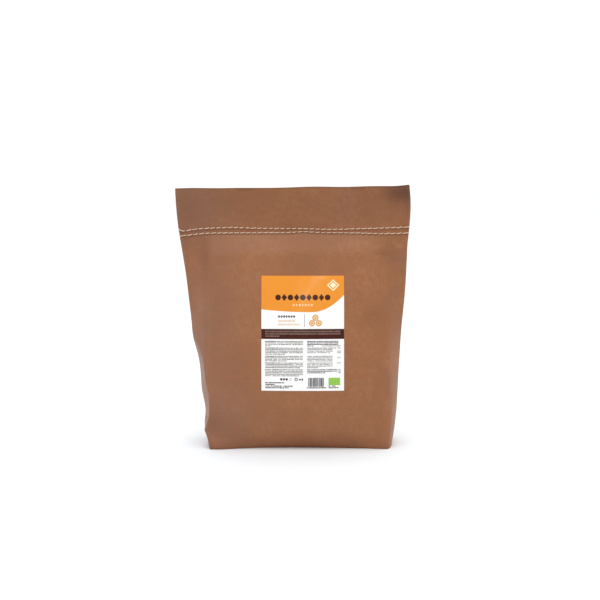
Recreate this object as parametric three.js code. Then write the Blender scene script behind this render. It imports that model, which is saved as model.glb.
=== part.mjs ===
// A two-kilogram block-bottom paper bag of dried chickpeas, standing upright, shut by two rows of stitches.
// Millimetres, +Z up. The labelled face looks along -Y, and +X is to the right of whoever looks at that face.
// The origin is on the floor, under the middle of the bag.
import * as THREE from "three";

// The paper tube and its bottom. Pressed flat, the tube is FLAT_WIDTH wide. Opened out on the floor, it makes
// a rectangle as wide as its front panel and as deep as its side panels.
const FLAT_WIDTH = 280;
const BASE_DEPTH = 68;
const BASE_WIDTH = FLAT_WIDTH - BASE_DEPTH;
const HALF_SIDE = BASE_DEPTH / 2;
const FAR_CREASE = FLAT_WIDTH - HALF_SIDE;
const BASE_CENTRE = 8; // the bag leans: its base stands this far right of its top

// Heights above the floor.
const TOP = 310; // cut top edge, at its middle
const TOP_RISE = 3; // how much higher the edge ends on the right than on the left
const TOP_WAVE = { height: 0.3, length: 74 };
const SEAM = 253.6; // where the two plies part, just under the lower row of stitches
const LOWER_ROW = 255.2;
const UPPER_ROW = 260.7;
const SEAM_REACH = 50; // the seam's bends and pulls die away this far down the body

// The sewn top is a little narrower than the flat tube, and the band over it flares out again.
const SEAM_WIDTH = 271.8;
const SEAM_CENTRE = 1.5;
const FLARE_LEFT = 5;
const HUMP_RIGHT = 2.6;
const HALF_BAND = 0.7; // half the thickness of the shut band

// How far the front and the back swell past their creases. The swell is fullest under the bag's middle, as
// the height's share of the way to the seam is raised to SAG.
const FRONT_BULGE = 9.4;
const BACK_BULGE = 10;
const SAG = 0.62;
const FOOT_TUCK = 4.5; // the long edges of the base are drawn in this far at their middle
const FOOT_TUCK_HEIGHT = 20;
const BASE_TURN = 2.5; // the base's right end stands this much nearer, and its left end as much further

// How far each side's middle fold stands out past the straight line from the base to the sewn top. The left
// side is pushed in between a knee and the corner at its foot.
const LEFT_SWELLS = [
  { up: 158, reach: 34, out: 1.6 },
  { up: 132, reach: 16, out: 2.2 },
  { up: 86, reach: 22, out: -1.2 },
  { up: 15, reach: 28, out: 7.2 },
];
const RIGHT_SWELLS = [
  { up: 35, reach: 78, out: 7.8 },
  { up: 178, reach: 56, out: 3.4 },
];
const SWELL_AT_FLOOR = 0.85; // share of a side's swell that is left where it meets the floor
const SWELL_RISE = 8; // and the height over which the rest comes in
const SWELL_END = 25; // under the seam, the height over which a side's swell dies away

// Rounding of the upright creases, measured along the paper: crisp up to one height, soft from another.
const CRISP_CREASE = 5;
const SOFT_CREASE = 12;
const CRISP_UP_TO = 76;
const SOFT_FROM = 152;

// Between these heights a section turns from a box with straight sides into a lens with pressed edges, which
// open over PRESSED_EDGE of paper.
const BOXY_UP_TO = 114;
const PRESSED_FROM = 241;
const PRESSED_EDGE = 42.5;

// The long slanting fold at the right of the front panel, as points on the flat paper.
const SLANT_TOP = { across: 276, up: 200 };
const SLANT_FOOT = { across: 205, up: 151 };
const SLANT_RISE = 1.6;
const SLANT_WIDTH = 15;
const SLANT_FULL = 0.85; // the share of its sine that the fold's length takes

// The band's gentle bend from front to back, smaller at the seam, and the corner that curls forward.
const BAND_WAVE = { depth: 2.4, length: 236, start: 38, atSeam: 0.4 };
const CORNER_CURL = { depth: 4.5, width: 44, fromShare: 0.35 };

// The sticker on the front panel.
const LABEL_WIDTH = 97.3;
const LABEL_HEIGHT = 134.4;
const LABEL_CENTRE = 12;
const LABEL_FOOT = 72.7;
const LABEL_THICKNESS = 0.5;

// The stitches.
const THREAD_RADIUS = 0.6;
const THREAD_SIDES = 6;
const STITCH_PITCH = 7.1;
const STITCH_RISE = 0.45; // how much a stitch arches up between its needle holes
const END_INSET = 1.2; // a row of stitches stops this far from each side fold
const CLEARANCE = 0.3; // between touching pieces

// Where each row of stitches strays up or down, along the paper from the left side fold.
const UPPER_PULLS = [
  { at: 0, reach: 17, rise: -3.3 },
  { at: 62, reach: 26, rise: 1.3 },
  { at: 185, reach: 28, rise: -1.2 },
  { at: 275, reach: 25, rise: 1.2 },
];
const LOWER_PULLS = [
  { at: 0, reach: 22, rise: -3.2 },
  { at: 152, reach: 14, rise: 1.1 },
  { at: 165, reach: 70, rise: 0.5 },
  { at: 248, reach: 24, rise: -0.9 },
];

// How finely each stretch of a skin is divided.
const SIDE_COLUMNS = 6;
const PANEL_COLUMNS = 16;
const FOOT_ROWS = 5;
const BODY_ROWS = 17;
const SHOULDER_ROWS = 5;
const SHOULDER_HEIGHT = 28;
const BAND_ROWS = 4;
const LABEL_COLUMNS = 8;
const LABEL_ROWS = 12;

const FINISHES = {
  paper: { color: 0xa27052, roughness: 0.55, metalness: 0 },
  label: { color: 0xf4f1ea, roughness: 0.3, metalness: 0 },
  thread: { color: 0xe9cdb6, roughness: 0.85, metalness: 0 },
};

const { clamp, lerp: mix } = THREE.MathUtils;
const bell = (value, centre, reach) => Math.exp(-(((value - centre) / reach) ** 2));
const shareOf = (value, from, to) => clamp((value - from) / (to - from), 0, 1);
const bodyShare = (up) => shareOf(up, 0, SEAM);
const bandShare = (up) => shareOf(up, SEAM, TOP);

// 0 at from, 1 at to and level at both, where from may be the larger of the two.
function smooth(from, to, value) {
  const t = shareOf(value, from, to);
  return t * t * (3 - 2 * t);
}

// max(0, t) with its corner rounded over a length of 2 * radius.
function softRamp(t, radius) {
  if (t <= -radius) return 0;
  return t >= radius ? t : (t + radius) ** 2 / (4 * radius);
}

function sideSwell(up, swells) {
  const whole = swells.reduce((sum, swell) => sum + swell.out * bell(up, swell.up, swell.reach), 0);
  const foot = mix(SWELL_AT_FLOOR, 1, smooth(0, SWELL_RISE, up));
  return whole * foot * smooth(SEAM, SEAM - SWELL_END, up);
}

// The x of the two upright creases at a height. Over the sewn top they carry on into the band.
function creases(up) {
  const halfPanel = SEAM_WIDTH / 2 - HALF_SIDE;
  const above = bandShare(up);
  const flare = FLARE_LEFT * (1 - (1 - above) ** 2);
  const hump = HUMP_RIGHT * Math.sin(Math.PI * above);
  return {
    left: mix(BASE_CENTRE - BASE_WIDTH / 2, SEAM_CENTRE - halfPanel, bodyShare(up)) - flare,
    right: mix(BASE_CENTRE + BASE_WIDTH / 2, SEAM_CENTRE + halfPanel, bodyShare(up)) + hump,
  };
}

// A crease comes forward along a quarter ellipse, as half a side panel swings out from flat to square.
const creaseDepth = (up) => HALF_SIDE * Math.sqrt(1 - bodyShare(up) ** 2);

// The swell of the filling: nothing along the base's edge and along the seam.
const bulgeShare = (up) => Math.sin(Math.PI * bodyShare(up) ** SAG);

// How far the band lies behind the bag's middle plane.
function bandBend(across, up) {
  const { depth, length, start, atSeam } = BAND_WAVE;
  const wave = depth * mix(atSeam, 1, bandShare(up)) * Math.sin((2 * Math.PI * (across - start)) / length);
  const curlShare = smooth(CORNER_CURL.fromShare, 1, bandShare(up));
  const curl = CORNER_CURL.depth * curlShare * smooth(FLAT_WIDTH - CORNER_CURL.width, FLAT_WIDTH, across);
  return wave * smooth(SEAM - SEAM_REACH, SEAM, up) - curl;
}

// Height of the slanting fold's crest over the panel, falling off to each side of its line.
function slantFold(across, up) {
  const run = SLANT_TOP.across - SLANT_FOOT.across;
  const rise = SLANT_TOP.up - SLANT_FOOT.up;
  const fromFoot = { across: across - SLANT_FOOT.across, up: up - SLANT_FOOT.up };
  const along = clamp((fromFoot.across * run + fromFoot.up * rise) / (run ** 2 + rise ** 2), 0, 1);
  const off = Math.hypot(fromFoot.across - along * run, fromFoot.up - along * rise);
  return SLANT_RISE * bell(off, 0, SLANT_WIDTH) * Math.sin(Math.PI * SLANT_FULL * along);
}

// The cut edge is a little higher at the right end and wavy.
function edgeRise(across, up) {
  const slant = TOP_RISE * (across / FLAT_WIDTH - 0.5);
  return (slant + TOP_WAVE.height * Math.sin((2 * Math.PI * across) / TOP_WAVE.length)) * bandShare(up);
}

// Each row of stitches runs a little up and down, and pulls the paper with it.
function rowPull(across, up) {
  const total = (row) => row.reduce((sum, pull) => sum + pull.rise * bell(across, pull.at, pull.reach), 0);
  const pull = mix(total(LOWER_PULLS), total(UPPER_PULLS), shareOf(up, LOWER_ROW, UPPER_ROW));
  return pull * (up > LOWER_ROW ? smooth(TOP, UPPER_ROW, up) : smooth(SEAM - SEAM_REACH, SEAM, up));
}

// A point of the bag's skin: across is the distance along the paper from the left side fold, up the height
// over the floor, face -1 for the front ply and +1 for the back ply, and lift the distance off the paper.
function paperPoint(across, up, face, lift = 0) {
  const crease = creases(up);
  const crisp = mix(CRISP_CREASE, SOFT_CREASE, smooth(CRISP_UP_TO, SOFT_FROM, up));
  const leftRamp = softRamp(HALF_SIDE - across, face < 0 ? crisp : SOFT_CREASE);
  const rightRamp = softRamp(across - FAR_CREASE, SOFT_CREASE);
  const panelRamp = softRamp(across - HALF_SIDE, crisp) - rightRamp;
  const panelScale = (crease.right - crease.left) / BASE_WIDTH;
  const fromFold = Math.min(across, FLAT_WIDTH - across);
  const isLeft = across < FLAT_WIDTH / 2;
  const nearFold = Math.max(0, 1 - (fromFold / HALF_SIDE) ** 2);
  const swell = sideSwell(up, isLeft ? LEFT_SWELLS : RIGHT_SWELLS) * nearFold;
  const sideways = bodyShare(up) * (rightRamp - leftRamp) + (isLeft ? -swell : swell);
  const x = crease.left + panelScale * panelRamp + sideways;

  const boxyShare = 1 - Math.max(leftRamp, rightRamp) / HALF_SIDE;
  const openShare = mix(boxyShare, smooth(0, PRESSED_EDGE, fromFold), smooth(BOXY_UP_TO, PRESSED_FROM, up));
  const toEnd = clamp((across - FLAT_WIDTH / 2) / (BASE_WIDTH / 2), -1, 1);
  const bulge = (face < 0 ? FRONT_BULGE : BACK_BULGE) * bulgeShare(up);
  const tuck = FOOT_TUCK * smooth(FOOT_TUCK_HEIGHT, 0, up);
  const relief = face < 0 ? slantFold(across, up) : 0;
  const filled = creaseDepth(up) * openShare + (bulge - tuck) * (1 - toEnd ** 2);
  const turn = BASE_TURN * toEnd * (1 - bodyShare(up));
  const y = face * (HALF_BAND + filled + relief + lift) + bandBend(across, up) - turn;

  return new THREE.Vector3(x, y, up + edgeRise(across, up) + rowPull(across, up));
}

// The same point addressed by its x, for what lies on the front panel.
function frontPoint(x, up, lift) {
  const crease = creases(up);
  return paperPoint(HALF_SIDE + shareOf(x, crease.left, crease.right) * BASE_WIDTH, up, -1, lift);
}

// Places after start, up to end, evenly spaced or eased towards one end.
function steps(start, end, count, ease = (t) => t) {
  return Array.from({ length: count }, (_, i) => mix(start, end, ease((i + 1) / count)));
}

const closeAtStart = (t) => t ** 1.7;
const closeAtEnd = (t) => 1 - (1 - t) ** 2;

// A box's grid of vertices, each moved to where place(column, face, row) says.
function mappedBox(columns, rows, place) {
  const geometry = new THREE.BoxGeometry(1, 1, 1, columns.length - 1, 1, rows.length - 1);
  const position = geometry.getAttribute("position");
  for (let i = 0; i < position.count; i++) {
    const column = columns[Math.round((position.getX(i) + 0.5) * (columns.length - 1))];
    const row = rows[Math.round((position.getZ(i) + 0.5) * (rows.length - 1))];
    const point = place(column, Math.sign(position.getY(i)), row);
    position.setXYZ(i, point.x, point.y, point.z);
  }
  geometry.computeVertexNormals();
  return geometry;
}

function bagGeometry() {
  const columns = [
    0,
    ...steps(0, HALF_SIDE, SIDE_COLUMNS),
    ...steps(HALF_SIDE, FAR_CREASE, PANEL_COLUMNS),
    ...steps(FAR_CREASE, FLAT_WIDTH, SIDE_COLUMNS),
  ];
  const rows = [
    0,
    ...steps(0, FOOT_TUCK_HEIGHT, FOOT_ROWS, closeAtStart),
    ...steps(FOOT_TUCK_HEIGHT, SEAM - SHOULDER_HEIGHT, BODY_ROWS),
    ...steps(SEAM - SHOULDER_HEIGHT, SEAM, SHOULDER_ROWS, closeAtEnd),
    LOWER_ROW,
    UPPER_ROW,
    ...steps(UPPER_ROW, TOP, BAND_ROWS),
  ];
  return mappedBox(columns, rows, (across, face, up) => paperPoint(across, up, face));
}

function labelGeometry() {
  const left = LABEL_CENTRE - LABEL_WIDTH / 2;
  const columns = [left, ...steps(left, left + LABEL_WIDTH, LABEL_COLUMNS)];
  const rows = [LABEL_FOOT, ...steps(LABEL_FOOT, LABEL_FOOT + LABEL_HEIGHT, LABEL_ROWS)];
  const lift = (face) => (face < 0 ? CLEARANCE + LABEL_THICKNESS : CLEARANCE);
  return mappedBox(columns, rows, (x, face, up) => frontPoint(x, up, lift(face)));
}

// One row of stitches on one face: a thread that arches up between its needle holes.
function threadGeometry(rowHeight, face) {
  const length = FLAT_WIDTH - 2 * END_INSET;
  const halfStitches = 2 * Math.round(length / STITCH_PITCH);
  const points = [];
  for (let i = 0; i <= halfStitches; i++) {
    const arch = i % 2 ? STITCH_RISE : 0;
    const across = END_INSET + (length * i) / halfStitches;
    points.push(paperPoint(across, rowHeight, face, CLEARANCE + THREAD_RADIUS + arch));
  }
  const section = new THREE.Shape().absarc(0, 0, THREAD_RADIUS, 0, 2 * Math.PI, false);
  return new THREE.ExtrudeGeometry(section, {
    steps: halfStitches,
    curveSegments: THREAD_SIDES / 2,
    bevelEnabled: false,
    extrudePath: new THREE.CatmullRomCurve3(points),
  });
}

function piece(name, geometry, finish) {
  const mesh = new THREE.Mesh(geometry, new THREE.MeshStandardMaterial(finish));
  mesh.name = name;
  return mesh;
}

const bag = new THREE.Group();
bag.add(piece("paper_bag", bagGeometry(), FINISHES.paper));
bag.add(piece("front_label", labelGeometry(), FINISHES.label));
for (const [side, face] of [["front", -1], ["back", 1]]) {
  bag.add(piece(`${side}_thread_upper`, threadGeometry(UPPER_ROW, face), FINISHES.thread));
  bag.add(piece(`${side}_thread_lower`, threadGeometry(LOWER_ROW, face), FINISHES.thread));
}

// The leaning bag's box is centred over the origin.
const box = new THREE.Box3().setFromObject(bag);
const middle = box.getCenter(new THREE.Vector3());
bag.position.set(-middle.x, -middle.y, -box.min.z);

export default bag;
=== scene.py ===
# %% [markdown]
# A paper bag of dried chickpeas, standing upright and sewn shut.
#
# The bag is a flat paper tube with a folded rectangular bottom. Filled, it is a box at its foot and a flat
# sheet at its top, so it is widest where it is thinnest. Two rows of stitches hold the top shut, and a band
# of plain paper stands over them. A printed label is stuck on the front. This script dresses the packed
# model of that bag, which gives the sizes and places, with fine paper, thread and print.

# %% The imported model
import math

import bmesh
import bpy
import numpy as np
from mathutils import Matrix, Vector


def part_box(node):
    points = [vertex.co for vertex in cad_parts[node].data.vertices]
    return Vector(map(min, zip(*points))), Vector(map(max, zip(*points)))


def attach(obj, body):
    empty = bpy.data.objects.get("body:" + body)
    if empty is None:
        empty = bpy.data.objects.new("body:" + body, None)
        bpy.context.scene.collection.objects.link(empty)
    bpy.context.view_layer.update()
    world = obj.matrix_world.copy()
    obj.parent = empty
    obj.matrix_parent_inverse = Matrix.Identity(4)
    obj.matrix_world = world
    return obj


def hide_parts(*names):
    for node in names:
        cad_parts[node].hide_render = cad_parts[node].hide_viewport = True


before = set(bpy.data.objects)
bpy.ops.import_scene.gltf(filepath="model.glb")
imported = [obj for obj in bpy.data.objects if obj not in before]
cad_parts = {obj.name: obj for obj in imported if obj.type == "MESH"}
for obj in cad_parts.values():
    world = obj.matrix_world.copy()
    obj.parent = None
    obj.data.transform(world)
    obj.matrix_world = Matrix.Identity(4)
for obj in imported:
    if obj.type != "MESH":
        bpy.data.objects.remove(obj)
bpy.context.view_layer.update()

MM = 0.001
print("packed nodes:", ", ".join(sorted(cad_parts)))

# %% [markdown]
# Materials and the sky are small graphs of nodes. A few helpers make a graph read like a sum: one adds a node
# and sets its inputs, and one does arithmetic, where a number stands for itself and anything else is a link.

# %% Node helpers


class Graph:
    """The node tree of a material or a sky, with short ways to add to it."""

    def __init__(self, owner, shader="Principled BSDF"):
        owner.use_nodes = True
        self.owner = owner
        self.tree = owner.node_tree
        self.shader = self.tree.nodes[shader]

    def node(self, kind, inputs=(), **settings):
        made = self.tree.nodes.new(kind)
        for key, value in settings.items():
            setattr(made, key, value)
        for key, value in dict(inputs).items():
            self.feed(made.inputs[key], value)
        return made

    def feed(self, socket, value):
        if isinstance(value, bpy.types.NodeSocket):
            self.tree.links.new(value, socket)
        else:
            socket.default_value = value

    def math(self, operation, *values):
        return self.node("ShaderNodeMath", enumerate(values), operation=operation).outputs[0]

    def mix_colour(self, factor, *colours):
        made = self.node("ShaderNodeMix", {0: factor}, data_type="RGBA")
        colour_inputs = [socket for socket in made.inputs if socket.type == "RGBA"]
        for socket, colour in zip(colour_inputs, colours):
            self.feed(socket, colour)
        return next(socket for socket in made.outputs if socket.type == "RGBA")

    def noise(self, vector, scale, detail=2.0, roughness=0.5):
        inputs = {"Vector": vector, "Scale": scale, "Detail": detail, "Roughness": roughness}
        return self.node("ShaderNodeTexNoise", inputs).outputs["Fac"]

    def cosine(self, vector, towards):
        inputs = {0: vector, 1: Vector(towards).normalized()}
        return self.node("ShaderNodeVectorMath", inputs, operation="DOT_PRODUCT").outputs["Value"]

    def stretch(self, vector, scale):
        return self.node("ShaderNodeMapping", {"Vector": vector, "Scale": scale}).outputs["Vector"]

    def ramp(self, value, low, high, to_low=0.0, to_high=1.0):
        inputs = {"Value": value, "From Min": low, "From Max": high, "To Min": to_low, "To Max": to_high}
        return self.node("ShaderNodeMapRange", inputs, interpolation_type="SMOOTHSTEP").outputs["Result"]

    def uv(self, name):
        return self.node("ShaderNodeUVMap", uv_map=name).outputs["UV"]

    def attribute(self, name):
        return self.node("ShaderNodeAttribute", attribute_name=name).outputs["Fac"]

    def bump(self, height, strength, distance):
        made = self.node("ShaderNodeBump", {"Height": height, "Strength": strength, "Distance": distance})
        self.feed(self.shader.inputs["Normal"], made.outputs["Normal"])


def srgb(red, green, blue):
    """A colour from its 0 to 255 values in a picture."""
    channels = [value / 255 for value in (red, green, blue)]
    return tuple(c / 12.92 if c <= 0.04045 else ((c + 0.055) / 1.055) ** 2.4 for c in channels) + (1.0,)


print("a picture's middle grey, as light:", round(srgb(128, 128, 128)[0], 3))

# %% [markdown]
# The camera and the studio come first, so that every later step can be looked at in its real light.
#
# A long lens from a metre and a half keeps the bag's edges nearly parallel, as in a catalogue picture. The
# eye is only a little higher than the bag, so it sees the front almost square on and hardly any of the sides.

# %% Camera
EYE_DISTANCE = 1.6
EYE_ELEVATION = math.radians(7.5)
LENS_MM = 80.0
AIM = Vector((0.0085, 0.0, 0.1745))


def look_at(obj, target):
    """Turn a camera or a light towards a point."""
    obj.rotation_euler = (target - obj.location).to_track_quat("-Z", "Y").to_euler()


camera = bpy.data.objects.new("camera", bpy.data.cameras.new("camera"))
camera.data.lens = LENS_MM
camera.data.clip_end = 50.0
eye_direction = Vector((0.0, -math.cos(EYE_ELEVATION), math.sin(EYE_ELEVATION)))
camera.location = AIM + EYE_DISTANCE * eye_direction
look_at(camera, AIM)
bpy.context.scene.collection.objects.link(camera)
bpy.context.scene.camera = camera
print("camera at", [round(v, 3) for v in camera.location])

# %% [markdown]
# The studio is a pale floor under a white sky. The sky is brightest overhead and a little in front, so paper
# turned up, such as the shoulder under the seam, comes out brighter than the upright band over it. It is
# bright behind the bag too, where the picture looks, and a little cooler on the left than on the right. A
# photograph of a studio could light the bag as well, but this sky is a sum of a few soft lobes, which can be
# set one by one.
#
# The view transform is the plain one, so that a colour in a material is the colour in the picture.

# %% Sky
SKY_EVEN = 0.572
WARM_WHITE, COOL_WHITE = (1.02, 1.0, 0.95, 1.0), (0.97, 1.0, 1.07, 1.0)  # from the right and from the left
TINT_REACH = 0.9
SKY_PARTS = {  # direction, where its light begins and is full, as cosines, and its strength
    "behind": ((0.0, 1.0, 0.05), 0.2, 0.75, 0.46),
    "high in front": ((0.0, -0.45, 1.0), 0.1, 0.9, 0.31),
    "overhead": ((0.0, 0.0, 1.0), 0.6, 0.98, 0.84),
    "left": ((-1.0, 0.1, 0.1), 0.2, 0.9, 0.12),
    "right": ((1.0, 0.1, 0.1), 0.2, 0.9, 0.07),
}

sky = Graph(bpy.data.worlds.new("sky"), "Background")
direction = sky.node("ShaderNodeTexCoord").outputs["Generated"]
strength = SKY_EVEN
for towards, begins, full, light in SKY_PARTS.values():
    lobe = sky.ramp(sky.cosine(direction, towards), begins, full, 0.0, light)
    strength = sky.math("ADD", lobe, strength)
sky.feed(sky.shader.inputs["Strength"], strength)
coolness = sky.ramp(sky.cosine(direction, (-1.0, 0.0, 0.0)), -TINT_REACH, TINT_REACH)
sky.feed(sky.shader.inputs["Color"], sky.mix_colour(coolness, WARM_WHITE, COOL_WHITE))
bpy.context.scene.world = sky.owner
bpy.context.scene.view_settings.view_transform = "Standard"
print("sky:", SKY_EVEN, "everywhere, brighter", ", ".join(SKY_PARTS))

# %% [markdown]
# Two lamps help the sky. A wide one high above draws a soft edge of light on the shoulders and sets the bag's
# soft shadow. A narrow strip in front has one task: the varnished label mirrors it as a slanting streak.

# %% Lights
LIGHTS = {  # azimuth from the front towards the right, elevation, distance, width, height, tilt and power
    "key": (0, 75, 2.2, 1.0, 1.0, 0, 10.0),
    "strip": (2, 17, 2.0, 0.03, 0.8, -6, 0.75),
}

for name, (azimuth, elevation, distance, width, height, tilt, watts) in LIGHTS.items():
    lamp = bpy.data.objects.new(name, bpy.data.lights.new(name, "AREA"))
    lamp.data.shape = "RECTANGLE"
    lamp.data.size, lamp.data.size_y = width, height
    lamp.data.energy = watts
    turn, lift = math.radians(azimuth), math.radians(elevation)
    towards = Vector((math.sin(turn) * math.cos(lift), -math.cos(turn) * math.cos(lift), math.sin(lift)))
    lamp.location = AIM + distance * towards
    look_at(lamp, AIM)
    lamp.rotation_euler.rotate_axis("Z", math.radians(tilt))
    bpy.context.scene.collection.objects.link(lamp)
print("lights:", ", ".join(LIGHTS))

# %% [markdown]
# The floor is one large square. It is nearly white where the picture shows it. Further to the front, past
# the picture's lower edge, it turns a pale grey, because a white floor there throws too much light up on the
# band.

# %% Floor
FLOOR_SIZE = 12.0
FLOOR_WHITE, FLOOR_GREY = (0.825, 0.85, 0.865, 1.0), (0.48, 0.48, 0.48, 1.0)
FLOOR_ROUGHNESS = 0.9
GREY_FROM, GREY_TO = -0.62, -0.95


def new_object(name, bm):
    """Make a bmesh a linked object at the origin, and free the bmesh."""
    mesh = bpy.data.meshes.new(name)
    bm.to_mesh(mesh)
    bm.free()
    obj = bpy.data.objects.new(name, mesh)
    bpy.context.scene.collection.objects.link(obj)
    return obj


floor_bm = bmesh.new()
bmesh.ops.create_grid(floor_bm, x_segments=1, y_segments=1, size=FLOOR_SIZE / 2)
floor = new_object("studio_floor", floor_bm)
paint = Graph(bpy.data.materials.new("studio_floor"))
floor_place = paint.node("ShaderNodeTexCoord").outputs["Object"]
floor_y = paint.node("ShaderNodeSeparateXYZ", {"Vector": floor_place}).outputs["Y"]
grey_share = paint.ramp(floor_y, GREY_TO, GREY_FROM, 1.0, 0.0)
paint.feed(paint.shader.inputs["Base Color"], paint.mix_colour(grey_share, FLOOR_WHITE, FLOOR_GREY))
paint.shader.inputs["Roughness"].default_value = FLOOR_ROUGHNESS
floor.data.materials.append(paint.owner)
print("floor of", FLOOR_SIZE, "m")

# %% [markdown]
# The bag's paper is a surface with two coordinates that anyone could draw on the flat tube: how far across
# from the left fold, and how far up from the floor. One function turns such a place, on the front or the back
# ply, into a point in space. The mesh of the bag, the label and the threads all go through it, so the label
# lies on the paper and the threads run along their rows without any fitting.
#
# The sizes below, in millimetres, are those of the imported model, with small trims to the sides' outline.

# %% Sizes of the bag
FLAT_WIDTH = 280.0
BASE_DEPTH = 68.0
BASE_WIDTH = FLAT_WIDTH - BASE_DEPTH
HALF_SIDE = BASE_DEPTH / 2
FAR_CREASE = FLAT_WIDTH - HALF_SIDE
BASE_CENTRE = 8.0
TOP = 310.0
TOP_RISE = 3.0
TOP_WAVE_HEIGHT, TOP_WAVE_LENGTH = 0.3, 74.0
SEAM = 253.6
LOWER_ROW = 255.2
UPPER_ROW = 260.7
SEAM_REACH = 50.0
SEAM_WIDTH, SEAM_CENTRE = 271.8, 1.5
FLARE_LEFT, HUMP_RIGHT = 4.1, 2.6
SEAM_FLAT, SEAM_FLAT_REACH = 0.9, 13.0  # how far the stitches press the right fold out
HALF_BAND = 0.7
FRONT_BULGE, BACK_BULGE, SAG = 9.4, 10.0, 0.62
FOOT_TUCK, FOOT_TUCK_HEIGHT = 8.0, 27.0
BASE_TURN = 1.6
LEFT_SWELLS = ((158, 34, 1.6), (130, 18, 2.4), (64, 22, 2.6), (23, 15, 5.2))  # height, reach, how far out
RIGHT_SWELLS = ((35, 78, 7.8), (178, 56, 3.4), (112, 28, 0.9))
SWELL_AT_FLOOR, SWELL_RISE, SWELL_END = 0.92, 8.0, 25.0
SOFT_CREASE, CRISP_UP_TO, SOFT_FROM = 12.0, 76.0, 152.0
BOXY_UP_TO, PRESSED_FROM, PRESSED_EDGE = 114.0, 241.0, 42.5
BAND_WAVE, BAND_WAVE_LENGTH, BAND_WAVE_START, BAND_WAVE_AT_SEAM = 2.4, 236.0, 38.0, 0.4
UPPER_PULLS = ((0, 17, -3.3), (62, 26, 1.3), (185, 28, -1.2), (275, 25, 1.2))  # place, reach, rise
LOWER_PULLS = ((0, 22, -3.2), (152, 14, 1.1), (165, 70, 0.5), (248, 24, -0.9))
print("a tube", FLAT_WIDTH, "mm wide and", TOP, "mm high on a foot of", BASE_WIDTH, "by", BASE_DEPTH, "mm")

# %% [markdown]
# A form on paper begins and ends softly. A few curves do for all of them: a share of the way between two
# places, the same with soft ends, a bell, and a ramp with a rounded corner. They work on whole arrays at
# once, so a surface with thousands of points takes no loop.

# %% Helpers for smooth shapes


def share_of(value, start, end):
    """How far a value is from start to end, held between 0 and 1."""
    return np.clip((value - start) / (end - start), 0.0, 1.0)


def smooth(start, end, value):
    """0 at start, 1 at end and level at both, also where start is the larger."""
    t = share_of(value, start, end)
    return t * t * (3 - 2 * t)


def mix(a, b, t):
    return a + (b - a) * t


def bell(value, centre, reach):
    return np.exp(-(((value - centre) / reach) ** 2))


def bells(value, rows):
    """The sum of several bells, each given as its centre, its reach and its height."""
    return sum(height * bell(value, centre, reach) for centre, reach, height in rows)


def soft_ramp(t, radius):
    """max(0, t) with its corner rounded."""
    rounded = (t + radius) ** 2 / (4 * radius)
    return np.where(t <= -radius, 0.0, np.where(t >= radius, t, rounded))


print("a quarter of the way up a soft step:", round(float(smooth(0.0, 1.0, 0.25)), 3))

# %% [markdown]
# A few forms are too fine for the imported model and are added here. On the left, the side panel is pushed in,
# so a ridge runs from the front crease slantwise up to the side fold, and under it the corner of the foot
# stands out like an ear with a flat facet on its front. Under the seam the paper closes in a straight wedge,
# and over it the band leans forward and its right corner curls.

# %% Dents of the left side and lean of the band
RIDGE_FOOT, RIDGE_LENGTH, RIDGE_RISE = 66.0, 63.0, 5.0
RIDGE_LANDING = 46.0  # where the ridge's slope meets the front panel again
RIDGE_ROUNDING, RIDGE_FULLNESS = 0.07, 0.8
CREST_FROM_FOLD = 2.0  # the least distance of the ridge's crest from the side fold
EAR_HEIGHTS, EAR_OUT = (0.0, 22.0, 38.0, 62.0), (0.7, 6.2, 1.2, 0.0)
EAR_WIDTH = 17.0
FACET_TOP, FACET_FOOT = (34.0, 25.0), (46.0, 0.0)  # across, up
FACET_SLOPE, FACET_ROUNDING, FACET_FROM = 0.24, 0.8, 12.0
CORNER_FORWARD, CORNER_UP, CORNER_WIDTH = 6.4, 16.0, 44.0
FOOT_CREASE, FOOT_CREASE_UP_TO = 2.2, 40.0
SHOULDER_SLOPE, SHOULDER_ROUNDING, SHOULDER_END = 0.64, 1.6, 4.0
BAND_LEAN, LEAN_CURVE = 8.0, 1.1
CURL, CURL_WIDTH, CURL_FROM = 7.0, 52.0, 0.3  # of the band's right corner
EDGE_DIPS = ((98.0, 26.0, -0.9), (282.0, 14.0, 1.9))  # across, reach, rise
NO_LESS = 1e-6  # keeps a divisor off zero


def left_ridge(across, up):
    """How far the ridge pushes the paper out to the left."""
    climb = share_of(up, RIDGE_FOOT, RIDGE_FOOT + RIDGE_LENGTH)
    crest = np.maximum(HALF_SIDE * np.sqrt(1 - climb**2), CREST_FROM_FOLD)
    rising, falling = across / crest, (RIDGE_LANDING - across) / (RIDGE_LANDING - crest)
    lower = np.minimum(rising, falling)
    gap = np.abs(rising - falling)
    tent = np.clip(lower - RIDGE_ROUNDING * np.exp(-gap / RIDGE_ROUNDING / 2), 0.0, 1.0)
    return RIDGE_RISE * np.sin(math.pi * climb) ** RIDGE_FULLNESS * tent


def left_ear(across, up):
    """How far the corner of the foot stands out to the left."""
    return np.interp(up, EAR_HEIGHTS, EAR_OUT) * bell(across, HALF_SIDE, EAR_WIDTH)


def foot_facet(across, up):
    """How far the front is pressed back at the ear, and its corner on the floor stands forward."""
    (top_across, top_up), (foot_across, foot_up) = FACET_TOP, FACET_FOOT
    run, rise = foot_across - top_across, foot_up - top_up
    length = math.hypot(run, rise)
    beyond = ((across - top_across) * rise - (up - top_up) * run) / length
    pressed = FACET_SLOPE * soft_ramp(beyond, FACET_ROUNDING) * smooth(FACET_FROM, HALF_SIDE, across)
    return pressed - CORNER_FORWARD * bell(up, 0.0, CORNER_UP) * bell(across, HALF_SIDE, CORNER_WIDTH)


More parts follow.
